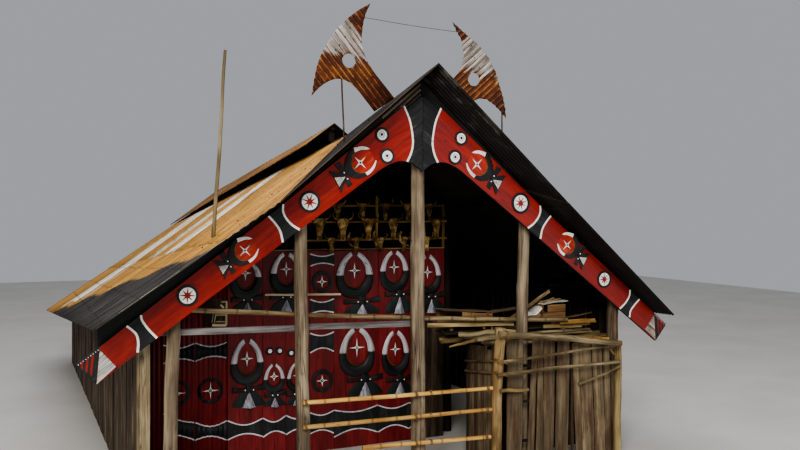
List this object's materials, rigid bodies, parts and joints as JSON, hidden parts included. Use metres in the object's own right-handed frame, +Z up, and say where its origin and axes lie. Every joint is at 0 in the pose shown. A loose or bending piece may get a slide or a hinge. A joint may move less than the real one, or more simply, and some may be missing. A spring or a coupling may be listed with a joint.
{
  "type": "naga longhouse with painted gable",
  "caption": "Traditional Naga longhouse: open gabled porch with painted bargeboards and wall, iron roof with a raised vent, crescent roof horns and a plank pen.",
  "frame": {"origin": "level ground under the middle of the overall bounding box", "axes": "+Z up, -Y out of the painted gable front, +X to the right of someone facing the gable from outside"},
  "size_m": [9.2952, 13.7, 6.9324],
  "materials": {
    "redboard": "painted boards, worn gloss",
    "blackwood": "black painted timber",
    "rustiron": "weathered corrugated iron",
    "darkiron": "dark rusted corrugated iron",
    "post": "weathered round timber",
    "plank": "weathered planks",
    "redwall": "painted boards",
    "bamboo": "dry bamboo",
    "hornmetal": "rusted corrugated iron",
    "bone": "smoked bone and poles",
    "steel": "dull steel rod"
  },
  "bodies": {
    "root": {"roof_left": "rustiron", "roof_prow_left": "darkiron", "roof_right": "rustiron", "roof_right_front_upper": "rustiron", "roof_right_front_lower": "rustiron", "roof_prow_right": "darkiron", "vent_roof_left": "rustiron", "vent_roof_right": "rustiron", "vent_frame": "post", "bargeboard_left": "redboard", "bargeboard_right": "redboard", "front_rafter_left": "blackwood", "front_rafter_right": "blackwood", "ridge_beam": "post", "purlin_left": "post", "purlin_right": "post", "wall_plate_left": "post", "wall_plate_right": "post", "post_centre": "post", "post_inner_left": "post", "post_inner_right": "post", "post_outer_left": "post", "post_outer_right": "post", "hall_post_left_front": "post", "hall_post_right_front": "post", "hall_post_left_rear": "post", "hall_post_right_rear": "post", "side_wall_left": "plank", "side_wall_right": "plank", "rear_wall": "plank", "painted_wall": "redwall", "painted_wall_sheets": "redwall", "corner_plank_left": "plank", "skull_rack": "bone", "bamboo_pole_rail": "bamboo", "plank_rail_left": "plank", "plank_rail_centre": "plank", "short_strip_rail": "bamboo", "fence_rail_top": "bamboo", "fence_rail_middle": "bamboo", "fence_rail_bottom": "bamboo", "pen_corner_post": "post", "pen_end_post": "post", "pen_front_planks": "plank", "pen_side_planks": "plank", "pen_rear_planks": "plank", "pen_top_log": "post", "pen_rail_upper": "post", "pen_rail_lower": "post", "pen_short_rail": "post", "stored_timber": "plank", "pen_bearer_front": "post", "pen_bearer_rear": "post", "horn_left": "hornmetal", "horn_right": "hornmetal", "horn_rod_left": "steel", "horn_rod_right": "steel", "horn_wire": "steel", "roof_pole": "bamboo"}
  },
  "joints": []
}
